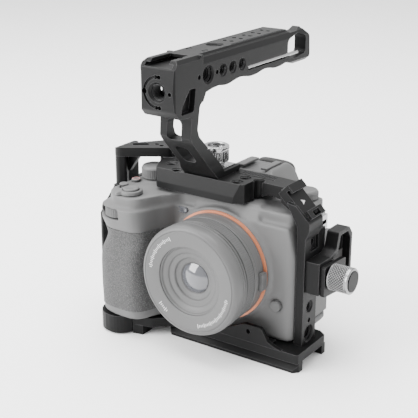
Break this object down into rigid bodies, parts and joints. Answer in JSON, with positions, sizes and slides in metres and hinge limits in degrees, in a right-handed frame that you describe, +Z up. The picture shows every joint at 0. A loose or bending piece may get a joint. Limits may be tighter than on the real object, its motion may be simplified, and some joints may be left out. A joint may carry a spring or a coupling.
{
  "type": "cinema camera rig",
  "caption": "Milled camera cage with base plate, top handle and cable clamp, holding a mirrorless camera with a short zoom lens.",
  "frame": {"origin": "centre of the quarter-inch tripod thread's mouth in the underside of the base plate", "axes": "+X towards the cable clamp side, -Y towards the lens and the viewer, +Z up through the top handle"},
  "size_m": [0.1699, 0.151, 0.1845],
  "materials": {
    "cage_metal": "black anodised, bead-blasted satin",
    "handle_metal": "black anodised, satin",
    "clamp_metal": "black anodised, satin",
    "black_steel": "black oxide",
    "steel": "bright stainless",
    "magnet": "nickel-plated",
    "knob_alu": "knurled, clear anodised",
    "rubber": "matt black",
    "camera_shell": "pale grey, fine texture",
    "grip_leather": "leather-grained grey",
    "control_grey": "grey, knurled rims",
    "record_red": "grey with a dull red ring",
    "mount_orange": "anodised orange",
    "lens_shell": "grey satin",
    "lens_glass": "coated"
  },
  "bodies": {
    "root": {"cage_top": "cage_metal", "grip_side_frame": "cage_metal", "base_plate": "cage_metal", "grip_foot": "cage_metal", "lens_support": "cage_metal", "handle_body": "handle_metal", "clamp_housing": "clamp_metal", "frame_screws": "black_steel", "foot_plate": "steel", "locating_pins": "steel", "shoe_spring": "steel", "clamp_screws": "steel", "strap_lugs": "steel", "port_sockets": "steel", "tool_magnets": "magnet", "key_magnets": "magnet", "foot_pad": "rubber", "body_pads": "rubber", "clamp_pads": "rubber", "eyecup": "rubber", "camera_body": "camera_shell", "top_cover": "camera_shell", "rear_cover": "camera_shell", "battery_door": "camera_shell", "grip_skin": "grip_leather", "hot_shoe": "control_grey", "mount_ring": "mount_orange", "lens_barrel": "lens_shell", "front_ring": "lens_shell", "inner_tube": "lens_shell", "front_glass": "lens_glass", "finder_glass": "lens_glass"},
    "driver": {"driver_tool": "steel"},
    "mount_screw": {"camera_mount_screw": "steel"},
    "handle_screw": {"thumb_screw": "steel", "thumb_screw_ring": "steel"},
    "head_screw": {"head_screw": "steel"},
    "hex_key": {"hex_key": "steel"},
    "jaw": {"clamp_jaw": "clamp_metal"},
    "clamp_knob": {"clamp_knob": "knob_alu", "clamp_knob_cap": "clamp_metal"},
    "zoom_ring": {"zoom_ring": "lens_shell"},
    "zoom_lever": {"zoom_lever": "lens_shell"},
    "release": {"release_button": "control_grey"},
    "mode_dial": {"mode_dial": "control_grey"},
    "exposure_dial": {"exposure_dial": "control_grey"},
    "shutter": {"shutter_button": "control_grey"},
    "power": {"power_ring": "control_grey"},
    "record": {"record_button": "record_red"},
    "custom": {"custom_button": "control_grey"},
    "front_dial": {"front_dial": "control_grey"},
    "rear_dial": {"rear_dial": "control_grey"},
    "wheel": {"control_wheel": "control_grey"},
    "wheel_button": {"wheel_button": "control_grey"},
    "joystick": {"joystick": "control_grey"},
    "screen": {"screen_arm": "camera_shell", "screen_panel": "camera_shell", "screen_glass": "lens_glass"},
    "port_door": {"port_door": "camera_shell"}
  },
  "joints": [
    {"name": "driver_pull", "type": "slide", "parent": "root", "child": "driver", "axis": [1, 0, 0], "range_m": [0, 0.06]},
    {"name": "mount_screw_turn", "type": "hinge", "parent": "root", "child": "mount_screw", "pos_m": [0, 0.0125, 0.007], "axis": [0, 0, 1], "continuous": true},
    {"name": "handle_screw_turn", "type": "hinge", "parent": "root", "child": "handle_screw", "pos_m": [-0.015, 0.008, 0.112], "axis": [0, 0, 1], "continuous": true},
    {"name": "head_screw_turn", "type": "hinge", "parent": "root", "child": "head_screw", "pos_m": [-0.027, -0.045, 0.178], "axis": [1, 0, 0], "continuous": true},
    {"name": "hex_key_pull", "type": "slide", "parent": "root", "child": "hex_key", "axis": [1, 0, 0], "range_m": [0, 0.03]},
    {"name": "jaw_slide", "type": "slide", "parent": "root", "child": "jaw", "axis": [1, 0, 0], "range_m": [0, 0.0032]},
    {"name": "clamp_knob_turn", "type": "hinge", "parent": "jaw", "child": "clamp_knob", "pos_m": [0.07, 0.005, 0.057], "axis": [1, 0, 0], "range_deg": [0, 1350]},
    {"name": "zoom_ring_turn", "type": "hinge", "parent": "root", "child": "zoom_ring", "pos_m": [0, -0.027, 0.0535], "axis": [0, 1, 0], "continuous": true},
    {"name": "zoom_lever_turn", "type": "hinge", "parent": "root", "child": "zoom_lever", "pos_m": [0, -0.016, 0.0535], "axis": [0, 1, 0], "range_deg": [-4, 4], "stiffness_Nm_per_rad": 0.5},
    {"name": "release_press", "type": "slide", "parent": "root", "child": "release", "axis": [0, 1, 0], "range_m": [0, 0.0012], "stiffness_N_per_m": 250},
    {"name": "mode_dial_turn", "type": "hinge", "parent": "root", "child": "mode_dial", "pos_m": [-0.0605, 0.005, 0.095], "axis": [0, 0, 1], "continuous": true},
    {"name": "exposure_dial_turn", "type": "hinge", "parent": "root", "child": "exposure_dial", "pos_m": [0.038, 0.027, 0.094], "axis": [0, 0, 1], "continuous": true},
    {"name": "shutter_press", "type": "slide", "parent": "root", "child": "shutter", "axis": [0, 0, -1], "range_m": [0, 0.0012], "stiffness_N_per_m": 250},
    {"name": "power_turn", "type": "hinge", "parent": "root", "child": "power", "pos_m": [-0.055, -0.0263, 0.094], "axis": [0, 0, 1], "range_deg": [0, 40]},
    {"name": "record_press", "type": "slide", "parent": "root", "child": "record", "axis": [0, 0, -1], "range_m": [0, 0.0005], "stiffness_N_per_m": 250},
    {"name": "custom_press", "type": "slide", "parent": "root", "child": "custom", "axis": [0, 0, -1], "range_m": [0, 0.0005], "stiffness_N_per_m": 250},
    {"name": "front_dial_turn", "type": "hinge", "parent": "root", "child": "front_dial", "pos_m": [-0.062, -0.0282, 0.082], "axis": [0, 0, 1], "continuous": true},
    {"name": "rear_dial_turn", "type": "hinge", "parent": "root", "child": "rear_dial", "pos_m": [-0.056, 0.0296, 0.088], "axis": [0, 0, 1], "continuous": true},
    {"name": "wheel_turn", "type": "hinge", "parent": "root", "child": "wheel", "pos_m": [-0.054, 0.037, 0.042], "axis": [0, 1, 0], "continuous": true},
    {"name": "wheel_press", "type": "slide", "parent": "root", "child": "wheel_button", "axis": [0, -1, 0], "range_m": [0, 0.0008], "stiffness_N_per_m": 250},
    {"name": "joystick_tilt", "type": "hinge", "parent": "root", "child": "joystick", "pos_m": [-0.054, 0.037, 0.066], "axis": [1, 0, 0], "range_deg": [-8, 8], "stiffness_Nm_per_rad": 0.02},
    {"name": "screen_swing", "type": "hinge", "parent": "root", "child": "screen", "pos_m": [0.0468, 0.0414, 0.049], "axis": [0, 0, 1], "range_deg": [-176, 0]},
    {"name": "port_door_open", "type": "hinge", "parent": "root", "child": "port_door", "pos_m": [0.0499, 0.022, 0.02], "axis": [0, 1, 0], "range_deg": [0, 85]}
  ],
  "couplings": [
    {"joint": "jaw_slide", "follows": "clamp_knob_turn", "m_per_rad": 0.00012732}
  ]
}
